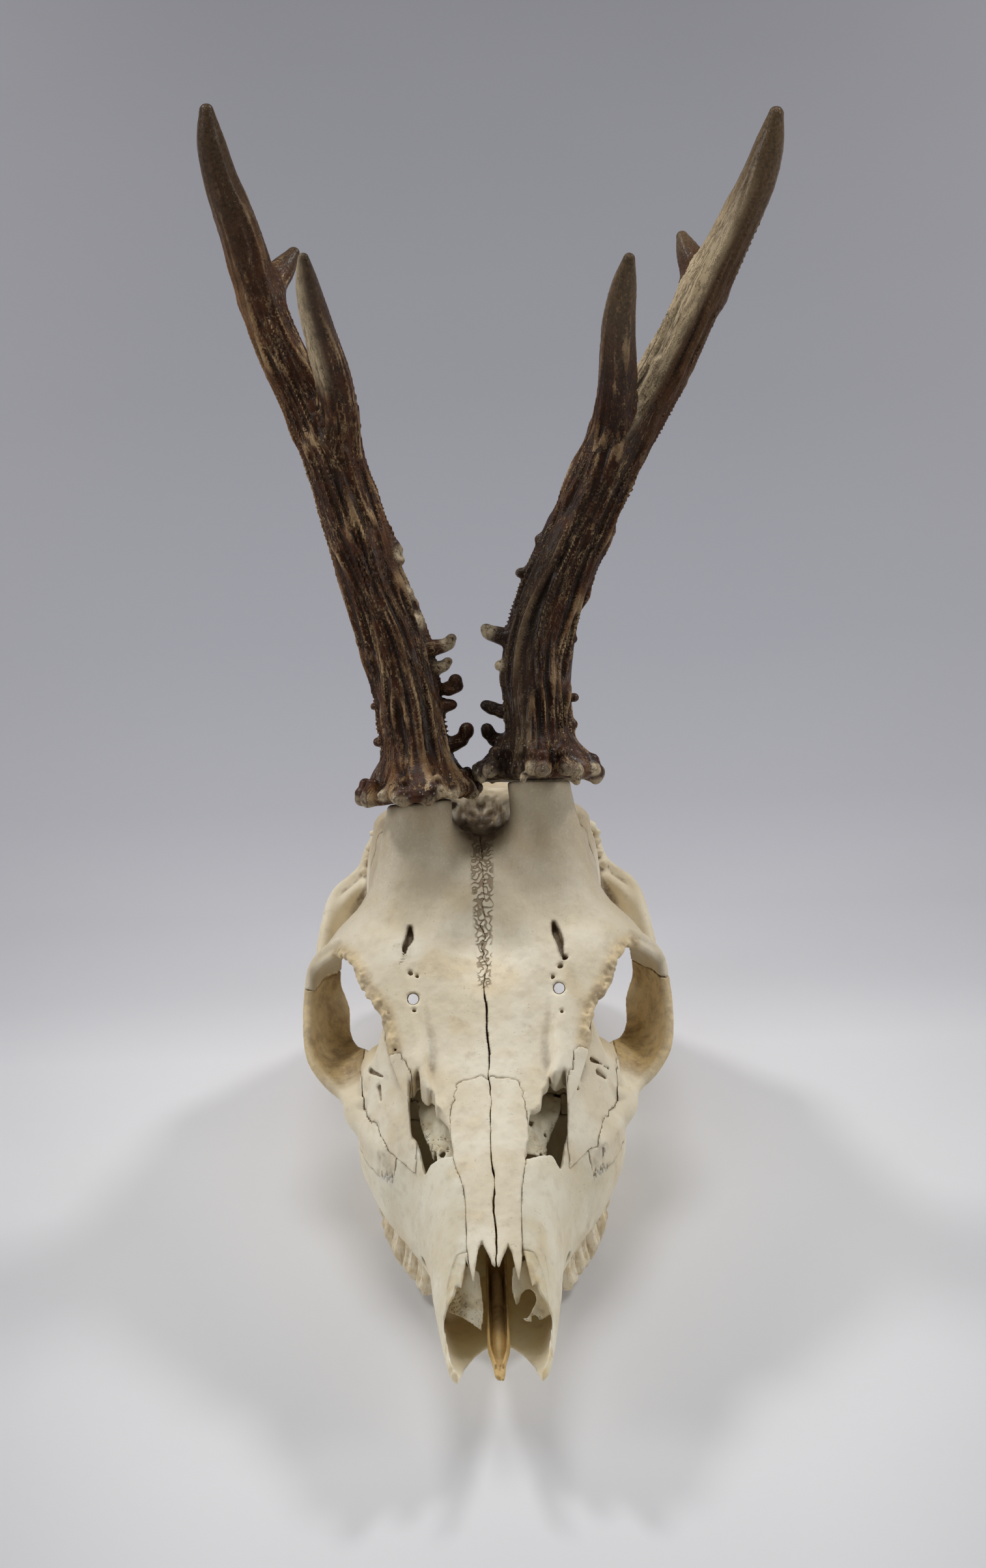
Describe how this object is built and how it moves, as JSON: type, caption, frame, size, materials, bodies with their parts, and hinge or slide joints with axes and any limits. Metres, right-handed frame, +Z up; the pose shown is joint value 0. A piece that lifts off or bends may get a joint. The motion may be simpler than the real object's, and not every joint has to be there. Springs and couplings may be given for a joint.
{
  "type": "roe deer skull",
  "caption": "Upper skull of a roe deer buck with both pearled, forked antlers, lying as it rests on its molars and the base of the braincase.",
  "frame": {"origin": "centre of the bounding box's bottom face, on the surface that the skull rests on", "axes": "+Z up, -Y the way the nose points, +X the animal's left side"},
  "size_m": [0.1446, 0.2418, 0.2391],
  "materials": {
    "bone": "dry, matt ivory bone with a faint sheen",
    "bone_yellow": "yellower, slightly waxy bone",
    "bone_thin": "paper-thin pale bone",
    "antler": "dark brown, ridged and pearled antler",
    "antler_tip": "tine polished grey-tan by rubbing"
  },
  "bodies": {
    "root": {"braincase": "bone", "frontal_left": "bone", "frontal_right": "bone", "nasal_left": "bone", "nasal_right": "bone", "lacrimal_left": "bone", "lacrimal_right": "bone", "maxilla_left": "bone", "maxilla_right": "bone", "premaxilla_left": "bone", "premaxilla_right": "bone", "zygomatic_left": "bone_yellow", "turbinate_left": "bone_thin", "antler_left_beam": "antler", "antler_left_front_tine": "antler_tip", "antler_left_rear_tine": "antler_tip", "antler_left_top_tine": "antler_tip", "zygomatic_right": "bone_yellow", "turbinate_right": "bone_thin", "antler_right_beam": "antler", "antler_right_front_tine": "antler_tip", "antler_right_rear_tine": "antler_tip", "antler_right_top_tine": "antler_tip", "vomer": "bone_yellow"}
  },
  "joints": []
}
